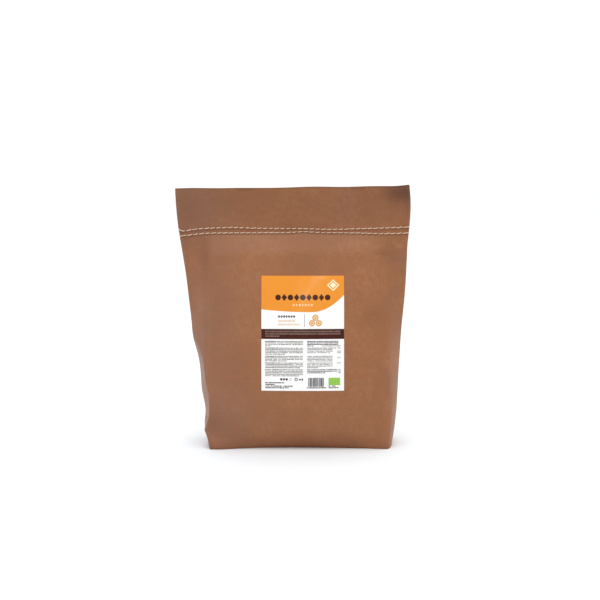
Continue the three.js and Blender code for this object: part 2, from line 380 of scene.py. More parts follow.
def crease_depth(up):
    """Half the bag's thickness at its creases: round below, and a wedge just under the seam."""
    body = share_of(up, 0.0, SEAM)
    rounded = HALF_SIDE * np.sqrt(1 - body**2)
    wedge = SHOULDER_SLOPE * np.maximum(SEAM - up, 0.0)
    rounding = SHOULDER_ROUNDING * smooth(SEAM, SEAM - SHOULDER_END, up) + NO_LESS
    return rounded - soft_ramp(rounded - wedge, rounding)


def band_share(up):
    return share_of(up, SEAM, TOP)


def band_bend(across, up):
    """How far the band lies behind the bag's middle plane."""
    above = band_share(up)
    turn = np.sin(2 * math.pi * (across - BAND_WAVE_START) / BAND_WAVE_LENGTH)
    wave = BAND_WAVE * mix(BAND_WAVE_AT_SEAM, 1.0, above) * turn * smooth(SEAM - SEAM_REACH, SEAM, up)
    curl = CURL * share_of(above, CURL_FROM, 1.0) ** 2 * smooth(FLAT_WIDTH - CURL_WIDTH, FLAT_WIDTH, across)
    return wave - curl - BAND_LEAN * above**LEAN_CURVE


print("thickness halfway up, at the creases:", round(2 * float(crease_depth(SEAM / 2)), 1), "mm")

# %% [markdown]
# The surface itself. Across the flat tube, the left and the right crease part the front panel from the two
# sides, and each side folds in the middle. Going up, the creases move apart, because the sides grow flat, and
# the thickness shrinks to nothing at the seam. A lattice or a cloth simulation could bend a box this way too.
# A formula keeps the paper's true width and says where every point of the flat sheet ends up.

# %% The paper's surface


def side_swell(up, rows):
    foot = mix(SWELL_AT_FLOOR, 1.0, smooth(0.0, SWELL_RISE, up))
    return bells(up, rows) * foot * smooth(SEAM, SEAM - SWELL_END, up)


def creases(up):
    """The x of the left and the right upright crease at a height."""
    body, above = share_of(up, 0.0, SEAM), band_share(up)
    half_panel = SEAM_WIDTH / 2 - HALF_SIDE
    left = mix(BASE_CENTRE - BASE_WIDTH / 2, SEAM_CENTRE - half_panel, body)
    right = mix(BASE_CENTRE + BASE_WIDTH / 2, SEAM_CENTRE + half_panel, body)
    right = right + HUMP_RIGHT * np.sin(math.pi * above) + SEAM_FLAT * bell(up, SEAM, SEAM_FLAT_REACH)
    return left - FLARE_LEFT * (1 - (1 - above) ** 2), right


def row_pull(across, up):
    """How far the crooked rows of stitches pull the paper up."""
    pull = mix(bells(across, LOWER_PULLS), bells(across, UPPER_PULLS), share_of(up, LOWER_ROW, UPPER_ROW))
    return pull * np.where(up > LOWER_ROW, smooth(TOP, UPPER_ROW, up), smooth(SEAM - SEAM_REACH, SEAM, up))


def edge_rise(across, up):
    """How far the slanting, wavy cut edge rises over its middle height."""
    wave = TOP_WAVE_HEIGHT * np.sin(2 * math.pi * across / TOP_WAVE_LENGTH)
    return (TOP_RISE * (across / FLAT_WIDTH - 0.5) + wave + bells(across, EDGE_DIPS)) * band_share(up)


def paper_point(across, up, face):
    """The smooth surface: face is -1 on the front ply, 1 on the back ply and between them inside."""
    body = share_of(up, 0.0, SEAM)
    left, right = creases(up)
    front = np.where(face < 0, 1.0, 0.0)
    crisp = mix(FOOT_CREASE, SOFT_CREASE, smooth(CRISP_UP_TO, SOFT_FROM, up))
    plain = mix(2 * FOOT_CREASE, SOFT_CREASE, smooth(0.0, FOOT_CREASE_UP_TO, up))
    left_ramp = soft_ramp(HALF_SIDE - across, mix(plain, crisp, front))
    right_ramp = soft_ramp(across - FAR_CREASE, plain)
    panel_ramp = soft_ramp(across - HALF_SIDE, crisp) - right_ramp
    from_fold = np.minimum(across, FLAT_WIDTH - across)
    near_fold = np.maximum(0.0, 1 - (from_fold / HALF_SIDE) ** 2)
    left_side = across < FLAT_WIDTH / 2
    swell = np.where(left_side, -side_swell(up, LEFT_SWELLS), side_swell(up, RIGHT_SWELLS)) * near_fold
    dents = front * (left_ridge(across, up) + left_ear(across, up))
    x = left + (right - left) / BASE_WIDTH * panel_ramp + body * (right_ramp - left_ramp) + swell - dents

    boxy = 1 - np.maximum(left_ramp, right_ramp) / HALF_SIDE
    pressed = smooth(0.0, PRESSED_EDGE, from_fold)
    open_share = mix(boxy, pressed, smooth(BOXY_UP_TO, PRESSED_FROM, up))
    to_end = np.clip((across - FLAT_WIDTH / 2) / (BASE_WIDTH / 2), -1.0, 1.0)
    bulge = mix(BACK_BULGE, FRONT_BULGE, front) * np.sin(math.pi * body**SAG)
    tuck = FOOT_TUCK * smooth(FOOT_TUCK_HEIGHT, 0.0, up)
    filled = crease_depth(up) * open_share + (bulge - tuck) * (1 - to_end**2)
    depth = HALF_BAND + filled - front * foot_facet(across, up)
    y = face * depth + band_bend(across, up) - BASE_TURN * to_end * (1 - body)
    return np.stack([x, y, up + edge_rise(across, up) + row_pull(across, up)], axis=-1)


front_middle = paper_point(FLAT_WIDTH / 2, SEAM / 2, -1.0)
print("middle of the front, before the shift:", np.round(front_middle, 1), "mm")

# %% [markdown]
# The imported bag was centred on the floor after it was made, so the function's points need the same small
# shift. It is read off the label, whose middle is known on the paper. The two boxes are printed to compare.

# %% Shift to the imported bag's place
PROBE = np.meshgrid(np.linspace(0, FLAT_WIDTH, 141), np.linspace(0, TOP, 156))
both_plies = [paper_point(*PROBE, np.full_like(PROBE[0], face)).reshape(-1, 3) for face in (-1.0, 1.0)]
probe_points = np.concatenate(both_plies)
cad_low, cad_high = (np.array(corner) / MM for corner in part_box("paper_bag"))
label_low, label_high = (np.array(corner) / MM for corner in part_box("front_label"))
LABEL_CENTRE = 12.0
SHIFT = np.array([(label_low[0] + label_high[0]) / 2 - LABEL_CENTRE, 0.0, 0.0])
print("packed bag", np.round(cad_low, 1), np.round(cad_high, 1))
print("this surface", np.round(probe_points.min(0) + SHIFT, 1), np.round(probe_points.max(0) + SHIFT, 1))

# %% [markdown]
# Paper that has been filled, shut and carried is never smooth. Its relief here has three sizes: a few creases
# that can be pointed at, a slow swell and sink where the peas press on it, and small dimples where the needle
# went through. The creases are short lines drawn on the flat paper. Each pushes the surface out along its own
# normal, sharply at its crest and softly to the sides.

# %% Creases and unevenness of the paper
FRONT_CREASES = (  # points as across and up, then the rise of the crest and its width
    (((277, 200), (243, 178), (205, 151)), 1.9, 9.0),
    (((262, 172), (272, 182), (277, 190)), -0.9, 6.0),
    (((35, 40), (34, 150), (34, 249)), 0.55, 5.0),
    (((26, 252), (28, 236), (27, 214)), -0.7, 5.5),
    (((2, 197), (16, 190), (30, 188)), 0.4, 5.0),
    (((12, 232), (20, 216), (30, 205)), 0.35, 4.5),
    (((8, 178), (15, 168), (28, 163)), -0.35, 4.5),
    (((228, 241), (238, 231), (254, 229), (264, 235)), -1.2, 2.9),
    (((243, 227), (257, 218), (273, 223)), -1.0, 3.2),
    (((260, 247), (267, 240), (276, 239)), 1.0, 2.6),
    (((236, 249), (243, 243), (252, 242)), -0.9, 2.6),
    (((221, 262), (222, 285), (222, 330)), -1.3, 10.0),
    (((238, 262), (240, 285), (243, 330)), 1.7, 6.6),
    (((252, 262), (256, 280), (250, 318)), -1.1, 5.0),
    (((262, 270), (268, 290), (266, 330)), 0.8, 6.0),
    (((88, 262), (96, 285), (92, 330)), 0.35, 9.0),
    (((246, 60), (246, 150), (244, 235)), 0.3, 7.0),
    (((150, 2), (158, 22), (176, 34)), 0.25, 6.0),
    (((30, 66), (22, 40), (30, 20)), -0.5, 6.0),
    (((33, 26), (39, 14), (46, 1)), 0.5, 3.0),
    (((52, 60), (44, 42), (47, 24)), -0.4, 7.0),
)
BACK_CREASES = (
    (((4, 188), (46, 168), (84, 150)), 1.4, 8.0),
    (((280, 204), (240, 186), (214, 160)), 1.2, 9.0),
    (((34, 45), (34, 150), (36, 248)), 0.7, 6.0),
    (((246, 40), (246, 150), (244, 246)), 0.6, 6.0),
    (((120, 244), (128, 222), (150, 208)), 0.6, 5.0),
    (((60, 8), (78, 26), (110, 34)), 0.4, 7.0),
)
SWELLS = {"wave": 62.0, "height": 0.32, "seed": 3}
RIPPLES = {"wave": 19.0, "height": 0.055, "seed": 8}
CREST_ROUNDING = 0.35
WAVES, SHORTEST, LONGEST = 14, 0.6, 1.7  # how many waves make a swell, and their lengths as shares of it
LAP_EDGE, LAP_STEP, LAP_HALF_WIDTH, LAP_FADE = 92.0, 0.35, 0.3, 34.0  # the glued seam along the back
STIFF_ACROSS, STIFF_UP, STIFF_MARGIN = (98.0, 197.0), (72.0, 206.0), 12.0  # where the label lies
CALM = 0.72
FOLD_MARGIN, FLOOR_MARGIN = 10.0, 14.0  # the relief fades out over these
SEAM_CALM, SEAM_CALM_REACH = 0.75, 9.0


def crest(across, up, points, rise, width):
    """A crease along a line of points: its height falls off to the sides and tapers to its ends."""
    best = np.full(np.shape(across), np.inf)
    taper = np.zeros(np.shape(across))
    last = len(points) - 1
    for i, ((a0, u0), (a1, u1)) in enumerate(zip(points, points[1:])):
        run, climb = a1 - a0, u1 - u0
        t = np.clip(((across - a0) * run + (up - u0) * climb) / (run**2 + climb**2), 0.0, 1.0)
        off = np.hypot(across - a0 - t * run, up - u0 - t * climb)
        taper = np.where(off < best, np.sin(math.pi * (i + t) / last), taper)
        best = np.minimum(off, best)
    return rise * taper * np.exp(CREST_ROUNDING - np.hypot(best / width, CREST_ROUNDING))


def unevenness(across, up, wave, height, seed):
    """Slow random swelling: many small sine waves that run in all directions."""
    rng = np.random.default_rng(seed)
    total = np.zeros(np.shape(across))
    for _ in range(WAVES):
        heading, phase = rng.uniform(0, 2 * math.pi, 2)
        length = wave * rng.uniform(SHORTEST, LONGEST)
        along = across * math.cos(heading) + up * math.sin(heading)
        total += np.sin(2 * math.pi * along / length + phase)
    return height * total * math.sqrt(2 / WAVES)


def calm_share(across, up):
    """How much of the unevenness the stiff label takes out of the front."""
    share = CALM
    for value, (low, high) in ((across, STIFF_ACROSS), (up, STIFF_UP)):
        share = share * smooth(low - STIFF_MARGIN, low, value) * smooth(high + STIFF_MARGIN, high, value)
    return share


def relief(across, up, face):
    """How far the uneven paper stands off the smooth surface, along its normal."""
    ring = np.where(face < 0, across, 2 * FLAT_WIDTH - across)
    front = sum(crest(across, up, *crease) for crease in FRONT_CREASES)
    back = sum(crest(across, up, *crease) for crease in BACK_CREASES)
    step = share_of(across, LAP_EDGE - LAP_HALF_WIDTH, LAP_EDGE + LAP_HALF_WIDTH)
    lap = LAP_STEP * step * smooth(LAP_EDGE + LAP_FADE, LAP_EDGE, across)
    slow = unevenness(ring, up, **SWELLS) + unevenness(ring, up, **RIPPLES)
    slow = slow * (1 - calm_share(across, up) * np.where(face < 0, 1.0, 0.0))
    from_fold = np.minimum(across, FLAT_WIDTH - across)
    at_ends = smooth(0.0, FOLD_MARGIN, from_fold) * smooth(0.0, FLOOR_MARGIN, up)
    near_seam = 1 - SEAM_CALM * bell(up, (LOWER_ROW + UPPER_ROW) / 2, SEAM_CALM_REACH)
    return np.where(face < 0, front, back + lap) * at_ends + slow * at_ends * near_seam


print(len(FRONT_CREASES), "creases on the front and", len(BACK_CREASES), "on the back")

# %% [markdown]
# The relief stands off the smooth surface along its normal, which is found by small steps across and up. The
# same function lifts a point further off the paper, and so it lays the label and the threads on it as well.

# %% A point on the uneven paper
STEP = 0.05
SHORTEST_NORMAL = 1e-9
ON_A_PLY = 0.999  # a face value beyond this, either way, is on the outer paper and not inside


def skin_point(across, up, face, lift=0.0):
    """A point on the uneven paper, or lifted off it along its normal."""
    point = paper_point(across, up, face)
    along = paper_point(across + STEP, up, face) - paper_point(across - STEP, up, face)
    upward = paper_point(across, up + STEP, face) - paper_point(across, up - STEP, face)
    normal = np.cross(along, upward) * -np.sign(face)[..., None]
    normal /= np.maximum(np.linalg.norm(normal, axis=-1, keepdims=True), SHORTEST_NORMAL)
    outer = np.where(np.abs(face) > ON_A_PLY, 1.0, 0.0)
    height = (relief(across, up, face) + lift) * outer
    return point + normal * height[..., None] + SHIFT


middle = skin_point(np.array([140.0]), np.array([120.0]), np.array([-1.0]))[0]
print("front of the paper at its middle:", np.round(middle, 2), "mm")

# %% [markdown]
# Now the bag's mesh. It starts as a flat grid, as the real bag starts as a flat sheet. The grid's columns go
# round the tube and its rows go up. Columns stand closer at the creases, and rows at the foot and where the
# stitches are, because that is where the paper bends most.

# %% Columns and rows of the paper
STITCHES = 39
COLUMNS_PER_STITCH = 4
END_INSET = 1.2
STITCH_PITCH = (FLAT_WIDTH - 2 * END_INSET) / STITCHES
PLY = 0.34
SLIT = 7.0
BASE_RINGS = (0.96, 0.88, 0.75, 0.6, 0.45, 0.31, 0.29, 0.15)
FLAP_EDGE, FLAP_STEP = 0.31, 0.4  # where a bottom flap ends, as a share of the half depth, and its step
CREASE_ZONE, CREASE_COLUMNS = 3.0, 9

between = np.arange(STITCHES * COLUMNS_PER_STITCH + 1) * STITCH_PITCH / COLUMNS_PER_STITCH + END_INSET
near_crease = HALF_SIDE + np.linspace(-CREASE_ZONE, CREASE_ZONE, CREASE_COLUMNS)
edge_columns = [0.0, 0.5, LAP_EDGE - LAP_HALF_WIDTH, LAP_EDGE + LAP_HALF_WIDTH, FLAT_WIDTH - 0.5, FLAT_WIDTH]
all_columns = np.concatenate([between, near_crease, FLAT_WIDTH - near_crease, edge_columns])
COLUMNS = np.unique(np.round(all_columns, 2))
FOOT_END, BODY_END, SHOULDER_HEIGHT, STITCHES_END = 20.0, 226.0, 27.6, UPPER_ROW + 2.0
ROWS = np.concatenate([
    FOOT_END * np.linspace(0, 1, 15)[:-1] ** 1.5,
    np.linspace(FOOT_END, BODY_END, 96)[:-1],
    SEAM - SHOULDER_HEIGHT * (1 - np.linspace(0, 1, 23)) ** 1.6,
    np.linspace(SEAM, STITCHES_END, 15)[1:],
    np.linspace(STITCHES_END, TOP, 24)[1:],
])
print(len(COLUMNS), "columns on each ply and", len(ROWS), "rows")

# %% [markdown]
# Needle holes pull the paper in. Between the holes it stays up, and between the two rows it sinks into a
# shallow groove. Bump in the material could fake this, but light that grazes the seam shows real dimples.

# %% Dimples along the stitches
HOLE_DEPTH, HOLE_RADIUS = 0.5, 1.4
GROOVE_DEPTH, GROOVE_WIDTH = 0.6, 1.5


def stitch_dimples(across, up):
    """How far the stitches pull the paper in."""
    from_hole = np.abs((across - END_INSET + STITCH_PITCH / 2) % STITCH_PITCH - STITCH_PITCH / 2)
    holes = sum(np.exp(-(from_hole**2 + (up - row) ** 2) / HOLE_RADIUS**2) for row in (LOWER_ROW, UPPER_ROW))
    groove = bell(up, (LOWER_ROW + UPPER_ROW) / 2, GROOVE_WIDTH)
    return -HOLE_DEPTH * holes - GROOVE_DEPTH * groove


middle_hole = stitch_dimples(np.array([END_INSET]), np.array([LOWER_ROW]))[0]
print("the paper sinks", round(-float(middle_hole), 2), "mm at a needle hole")

# %% [markdown]
# The grid is rolled into a tube: its last column is laid on its first and welded. Every vertex keeps its
# place on the paper in three named layers, across, up and face, so that the grid can be extruded and welded
# first and put in its shape at the end. An edge grows by extruding it and giving the new vertices a place.

# %% Helpers for the paper's grid
GRID_WELD, WELD, FINEST = 1e-5, 1e-6, 1e-7
SAME_HEIGHT = 1e-4


def paper_grid(bm, columns, rows):
    """A flat grid rolled into a tube: front ply, back ply, and the strips at the folds."""
    ring = np.concatenate([columns, columns[::-1], columns[:1]])
    faces = np.concatenate([-np.ones(len(columns)), np.ones(len(columns)), [-1.0]])
    unrolled = np.concatenate([columns, 2 * FLAT_WIDTH - columns[::-1], [2 * FLAT_WIDTH]])
    across_layer = bm.verts.layers.float.new("across")
    up_layer = bm.verts.layers.float.new("up")
    face_layer = bm.verts.layers.float.new("face")
    uv_layer = bm.loops.layers.uv.new("paper")
    bmesh.ops.create_grid(bm, x_segments=len(ring) - 1, y_segments=len(rows) - 1, size=0.5)
    for vert in bm.verts:
        column = round((vert.co.x + 0.5) * (len(ring) - 1))
        row = round((vert.co.y + 0.5) * (len(rows) - 1))
        vert[across_layer], vert[up_layer], vert[face_layer] = ring[column], rows[row], faces[column]
        for loop in vert.link_loops:
            loop[uv_layer].uv = (unrolled[column] * MM, rows[row] * MM)
    ends = [vert for vert in bm.verts if abs(abs(vert.co.x) - 0.5) < WELD]
    for vert in ends:
        vert.co.x = -0.5
    bmesh.ops.remove_doubles(bm, verts=ends, dist=GRID_WELD)
    return across_layer, up_layer, face_layer


def grow_edge(bm, height, layers, face_share=None, up=None):
    """Extrude the open edge at a height and give the new vertices their place on the paper."""
    _, up_layer, face_layer = layers
    open_edges = [edge for edge in bm.edges if edge.is_boundary]
    edges = [e for e in open_edges if all(abs(v[up_layer] - height) < SAME_HEIGHT for v in e.verts)]
    grown = bmesh.ops.extrude_edge_only(bm, edges=edges)["geom"]
    verts = [g for g in grown if isinstance(g, bmesh.types.BMVert)]
    for vert in verts:
        if face_share is not None:
            vert[face_layer] = math.copysign(face_share, vert[face_layer]) if face_share else 0.0
        if up is not None:
            vert[up_layer] = up
    return verts


print("rolled from", 2 * len(COLUMNS), "columns and", len(ROWS), "rows")

# %% [markdown]
# The top edge is extruded inwards by the thickness of a ply, then down into a narrow slit, because a sewn bag
# is two sheets and the eye finds that dark line. The bottom edge is extruded to the middle in rings. One flap
# of the folded bottom ends on the other, so a few of those rings are lifted to leave a low step. Then every
# vertex goes to its point in space.

# %% The paper bag's mesh
SHARP_FOLD = math.radians(55)

bag_bm = bmesh.new()
layers = paper_grid(bag_bm, COLUMNS, ROWS)
across_layer, up_layer, face_layer = layers
grow_edge(bag_bm, TOP, layers, face_share=1 - PLY / HALF_BAND)
slit = grow_edge(bag_bm, TOP, layers, face_share=0.0, up=TOP - SLIT)
for ring_share in BASE_RINGS:
    grow_edge(bag_bm, 0.0, layers, face_share=ring_share)
base_middle = grow_edge(bag_bm, 0.0, layers, face_share=0.0)
paper_uv = bag_bm.loops.layers.uv["paper"]
for face in bag_bm.faces:
    on_floor = all(vert[up_layer] == 0.0 for vert in face.verts)
    if on_floor and any(abs(vert[face_layer]) < ON_A_PLY for vert in face.verts):
        for loop in face.loops:
            loop[paper_uv].uv.y = -(1 - abs(loop.vert[face_layer])) * HALF_SIDE * MM
for vert in bag_bm.verts:
    if vert[up_layer] == 0.0 and -ON_A_PLY < vert[face_layer] < 0.001 - FLAP_EDGE:
        vert[up_layer] = FLAP_STEP * (1 + vert[face_layer]) / (1 - FLAP_EDGE)

places = np.array([(v[across_layer], v[up_layer], v[face_layer]) for v in bag_bm.verts])
points = skin_point(*places.T, stitch_dimples(places[:, 0], places[:, 1]))
for vert, point in zip(bag_bm.verts, points):
    vert.co = Vector(point) * MM
bmesh.ops.remove_doubles(bag_bm, verts=slit, dist=WELD)
bmesh.ops.remove_doubles(bag_bm, verts=base_middle, dist=WELD)
bmesh.ops.dissolve_degenerate(bag_bm, edges=bag_bm.edges[:], dist=FINEST)
bmesh.ops.recalc_face_normals(bag_bm, faces=bag_bm.faces[:])
open_edges = sum(not edge.is_manifold for edge in bag_bm.edges)
bag = new_object("kraft_bag", bag_bm)
bag.data.shade_smooth()
bag.data.set_sharp_from_angle(angle=SHARP_FOLD)
print("paper bag:", len(bag.data.polygons), "faces,", open_edges, "open edges")

# %% [markdown]
# The label is a paper sticker. A copy of the bag's own faces could be lifted off, but its edges would follow
# the bag's grid. So it is a grid of its own, laid on the front through the same surface, which makes it
# follow every swell of the paper, and given its thickness by extruding the sheet.

# %% The label
LABEL_WIDTH, LABEL_HEIGHT = 97.3, 134.4
LABEL_FOOT = 72.1
LABEL_THICKNESS = 0.18
LABEL_GAP = 0.06
LABEL_COLUMNS, LABEL_ROWS = 54, 74
SHARP_CUT = math.radians(40)


def label_point(u, v, lift):
    """A point of the label from its shares of the width, from the left, and of the height, from the top."""
    up = LABEL_FOOT + LABEL_HEIGHT * (1 - v)
    x = LABEL_CENTRE + LABEL_WIDTH * (u - 0.5)
    left, right = creases(up)
    across = HALF_SIDE + (x - left) / (right - left) * BASE_WIDTH
    return skin_point(across, up, np.full(np.shape(u), -1.0), lift)


label_bm = bmesh.new()
label_uv = label_bm.loops.layers.uv.new("print")
bmesh.ops.create_grid(label_bm, x_segments=LABEL_COLUMNS, y_segments=LABEL_ROWS, size=0.5)
for face in label_bm.faces:
    for loop in face.loops:
        loop[label_uv].uv = (loop.vert.co.x + 0.5, 0.5 - loop.vert.co.y)
sheet = label_bm.faces[:]
backing = bmesh.ops.extrude_face_region(label_bm, geom=sheet, use_keep_orig=True)["geom"]
backing_verts = {g for g in backing if isinstance(g, bmesh.types.BMVert)}
label_verts = label_bm.verts[:]
shares = np.array([(v.co.x + 0.5, 0.5 - v.co.y) for v in label_verts])
lift = np.array([LABEL_GAP if v in backing_verts else LABEL_GAP + LABEL_THICKNESS for v in label_verts])
for vert, point in zip(label_verts, label_point(shares[:, 0], shares[:, 1], lift)):
    vert.co = Vector(point) * MM
bmesh.ops.recalc_face_normals(label_bm, faces=label_bm.faces[:])
open_edges = sum(not edge.is_manifold for edge in label_bm.edges)
label = new_object("printed_label", label_bm)
label.data.shade_smooth()
label.data.set_sharp_from_angle(angle=SHARP_CUT)
print("label:", len(label.data.polygons), "faces,", open_edges, "open edges")

# %% [markdown]
# The thread is soft cotton, three strands twisted together. One round tube would be a smooth wire, so each
# strand is a tube that winds round the row's own line. The tubes are curves with a bevel, turned into mesh.

# %% Thread helpers
THREAD_RADIUS = 0.6
STRANDS, STRAND_TWIST = 3, 2.6
STRAND_RADIUS = THREAD_RADIUS * 0.56  # the three overlap a little, as soft strands do
POINTS_PER_STITCH = 20
STITCH_SLANT = 0.85
STITCH_HIGH, STITCH_LOW = 0.62, -2.0
LOOSE_END, LOOSE_LENGTH = 2.8, 5.5
END_RISE = 3.2  # over this length at its ends a row lies on the paper
THREAD_INSET = 0.3
SHORT_GAP, WIDE_GAP = 0.36, 0.95  # powers of the arch: a higher one leaves more paper bare between stitches


def tubes(name, paths, radius):
    """A closed round tube along each path of points, in millimetres, all in one mesh object."""
    curve = bpy.data.curves.new(name, "CURVE")
    curve.dimensions = "3D"
    curve.bevel_depth = radius * MM
    curve.bevel_resolution = 1
    curve.use_fill_caps = True
    for path in paths:
        spline = curve.splines.new("POLY")
        spline.points.add(len(path) - 1)
        spline.points.foreach_set("co", np.c_[path * MM, np.ones(len(path))].ravel())
    drawn = bpy.data.objects.new(name + "_curve", curve)
    bpy.context.scene.collection.objects.link(drawn)
    mesh = bpy.data.meshes.new_from_object(drawn.evaluated_get(bpy.context.evaluated_depsgraph_get()))
    bpy.data.objects.remove(drawn)
    bpy.data.curves.remove(curve)
    bm = bmesh.new()
    bm.from_mesh(mesh)
    bpy.data.meshes.remove(mesh)
    bmesh.ops.remove_doubles(bm, verts=bm.verts[:], dist=FINEST)
    bmesh.ops.recalc_face_normals(bm, faces=bm.faces[:])
    obj = new_object(name, bm)
    obj.data.shade_smooth()
    return obj


def twisted(place, length, points):
    """The paths of the strands that wind round a line; place(along, sideways, outwards) gives its points."""
    along = np.linspace(0.0, length, points)
    paths = []
    for strand in range(STRANDS):
        angle = 2 * math.pi * (along / STRAND_TWIST + strand / STRANDS)
        reach = THREAD_RADIUS - STRAND_RADIUS
        paths.append(place(along, reach * np.cos(angle), reach * np.sin(angle)))
    return paths


print("a strand is", round(2 * STRAND_RADIUS, 2), "mm thick and winds round once in", STRAND_TWIST, "mm")

# %% [markdown]
# Seen from the front, each stitch is one short straight run that comes out of a needle hole, crosses the
# paper and goes back in, a little aslant. A sine arch over the paper gives that run, and a power of it, drawn
# for each stitch, makes the bare gaps uneven. A row's ends lie on the paper, and the upper row starts with a
# loose one.

# %% Front rows of stitches
ROW_LENGTH = FLAT_WIDTH - 2 * THREAD_INSET
ROW_HEIGHTS = {"upper": UPPER_ROW, "lower": LOWER_ROW}
LEAST_SLANT, MOST_SLANT, LEAST_RISE, MOST_RISE = 0.6, 1.3, 0.85, 1.15


def stitch_lengths(along, seed):
    """Where the thread is in its stitch, from 0 to 1, and each stitch's own slant, height and gap."""
    rng = np.random.default_rng(seed)
    slants = rng.uniform(LEAST_SLANT, MOST_SLANT, STITCHES + 1)
    heights = rng.uniform(LEAST_RISE, MOST_RISE, STITCHES + 1)
    gaps = rng.uniform(SHORT_GAP, WIDE_GAP, STITCHES + 1)
    place = np.clip((along + THREAD_INSET - END_INSET) / STITCH_PITCH, 0.0, STITCHES - WELD)
    number = place.astype(int)
    return place - number, slants[number], heights[number], gaps[number]


def front_row(row, seed):
    def place(along, sideways, outwards):
        part, slant, height, gap = stitch_lengths(along, seed)
        from_end = np.minimum(along, ROW_LENGTH - along)
        arch = np.maximum(np.abs(np.sin(math.pi * part)) ** gap, smooth(2 * END_RISE, END_RISE, from_end))
        lift = mix(STITCH_LOW, STITCH_HIGH * height, arch) + outwards
        loose = LOOSE_END * smooth(LOOSE_LENGTH, 0.0, along) if row == UPPER_ROW else 0.0
        up = row + STITCH_SLANT * slant * (part - 0.5) + loose + sideways
        return skin_point(along + THREAD_INSET, up, np.full(np.shape(along), -1.0), lift)
    return twisted(place, ROW_LENGTH, STITCHES * POINTS_PER_STITCH + 1)


threads = []
for seed, (which, row) in enumerate(ROW_HEIGHTS.items()):
    thread = tubes(f"stitches_front_{which}", front_row(row, seed), STRAND_RADIUS)
    threads.append((thread, f"front_thread_{which}"))
    print(thread.name, len(thread.data.polygons), "faces")

# %% [markdown]
# On the back, a bag sewing machine leaves a chain, in which each loop comes through the one before it. Two
# legs that swing apart and cross at every hole give the look of those loops, without tying real ones.

# %% Back rows of stitches
LOOP_WIDTH, LOOP_LIFT, LEG_CROSSING = 0.95, 0.55, 0.42
BACK_STRAND = 0.75  # the looper's thread is thinner
POINTS_PER_LOOP = 10


def back_row(row):
    """Two legs that cross at each hole, as the sides of the loops of a chain do."""
    def place(leg):
        def leg_place(along, sideways, outwards):
            turn = math.pi * along / STITCH_PITCH
            apart = leg * LOOP_WIDTH * np.sin(turn)
            lift = LOOP_LIFT + LEG_CROSSING * leg * np.cos(turn) + outwards
            return skin_point(along + THREAD_INSET, row + apart + sideways, np.ones(np.shape(along)), lift)
        return leg_place
    points = STITCHES * POINTS_PER_LOOP + 1
    return [path for leg in (-1, 1) for path in twisted(place(leg), ROW_LENGTH, points)]


for which, row in ROW_HEIGHTS.items():
    thread = tubes(f"stitches_back_{which}", back_row(row), STRAND_RADIUS * BACK_STRAND)
    threads.append((thread, f"back_thread_{which}"))
    print(thread.name, len(thread.data.polygons), "faces")

# %% [markdown]
# A bag that has been packed, sewn and carried is not evenly brown: a sharp crease breaks the fibres, which
# then look paler. The colour here also holds painted light. Painted shade darkens the band and its corners,
# places under the seam, the lower front and the foot, a line under the cut edge and one under each row of
# stitches, where shade falls on the bag. A painted cool cast greys places, most of them on the left, where the
# cooler light comes from. All this could be painted as a picture. Here it is three numbers at every vertex,
# worked out from the same places on the paper as the shape, and the material reads them by name.

# %% Wear, painted shade and a painted cool cast
# Painted shade: darker spots where shade falls on the band, its corners, under the seam and at the foot.
PAINTED_SHADE_SPOTS = (  # middle as across and up, reach across and up, and how much darker
    (270, 303, 20, 13, 1.6), (276, 284, 5, 22, 0.4), (140, 288, 190, 26, 0.38), (226, 296, 9, 30, 0.22),
    (30, 228, 7, 26, 0.5), (8, 244, 16, 12, 0.4), (250, 233, 17, 3.5, 0.35), (262, 225, 10, 3, 0.3),
    (266, 186, 9, 9, 0.35), (10, 290, 12, 30, 0.35), (14, 192, 8, 12, 0.25), (60, 30, 26, 22, 0.22),
    (140, -4, 200, 13, 0.72), (140, -1, 400, 3, 0.7), (235, 160, 18, 8, 0.15), (218, 50, 46, 40, 0.2),
    (38, 30, 11, 12, 0.45), (262, 242, 9, 4, 0.3), (248, 238, 5, 3, 0.3),
)
PAINTED_COOL_CAST = (  # the same, for greyer places, most of them on the left: a painted cool cast of the light from there
    (18, 296, 44, 46, 0.8), (206, 300, 12, 44, 0.35), (40, 150, 40, 100, 0.55), (52, 34, 40, 44, 0.6),
    (268, 226, 14, 12, 0.4), (12, 84, 14, 46, 0.7),
)
WEAR_WIDTH, FOLD_WEAR = 1.6, 0.6
SHARP_CREASE, BROAD_CREASE = 3.5, 6.5  # widths of creases that wear fully and not at all
SHOW_THROUGH = 0.3  # how much of a spot on the front shows on the back
EDGE_SHADE, EDGE_FROM, EDGE_FULL = 0.9, 1.4, 0.2  # of the cut edge, and where it starts and is full under it
GROOVE_SHADE, GROOVE_UNDER, GROOVE_REACH = 0.85, 1.3, 1.0  # the shade just under each row of stitches

stored = {name: np.zeros(len(bag.data.vertices), dtype=np.float32) for name in ("across", "up", "face")}
for name, values in stored.items():
    bag.data.attributes[name].data.foreach_get("value", values)
creased = FOLD_WEAR * sum(bell(stored["across"], fold, WEAR_WIDTH) for fold in (0.0, FLAT_WIDTH))
for crease_lines, side in ((FRONT_CREASES, -1), (BACK_CREASES, 1)):
    on_side = np.where(stored["face"] * side > 0.99, 1.0, 0.0)
    for points_on_line, rise, width in crease_lines:
        line = crest(stored["across"], stored["up"], points_on_line, 1.0, WEAR_WIDTH)
        sharp = smooth(BROAD_CREASE, SHARP_CREASE, width) * min(1.0, max(rise, 0.0))
        creased = np.maximum(creased, on_side * line * sharp)


def spots(rows):
    """The sum of soft spots on the front, which show through a little on the back."""
    reached = np.zeros(len(creased))
    for across, up, reach_across, reach_up, amount in rows:
        spot = bell(stored["across"], across, reach_across) * bell(stored["up"], up, reach_up)
        reached += amount * spot * np.where(stored["face"] < 0, 1.0, SHOW_THROUGH)
    return reached
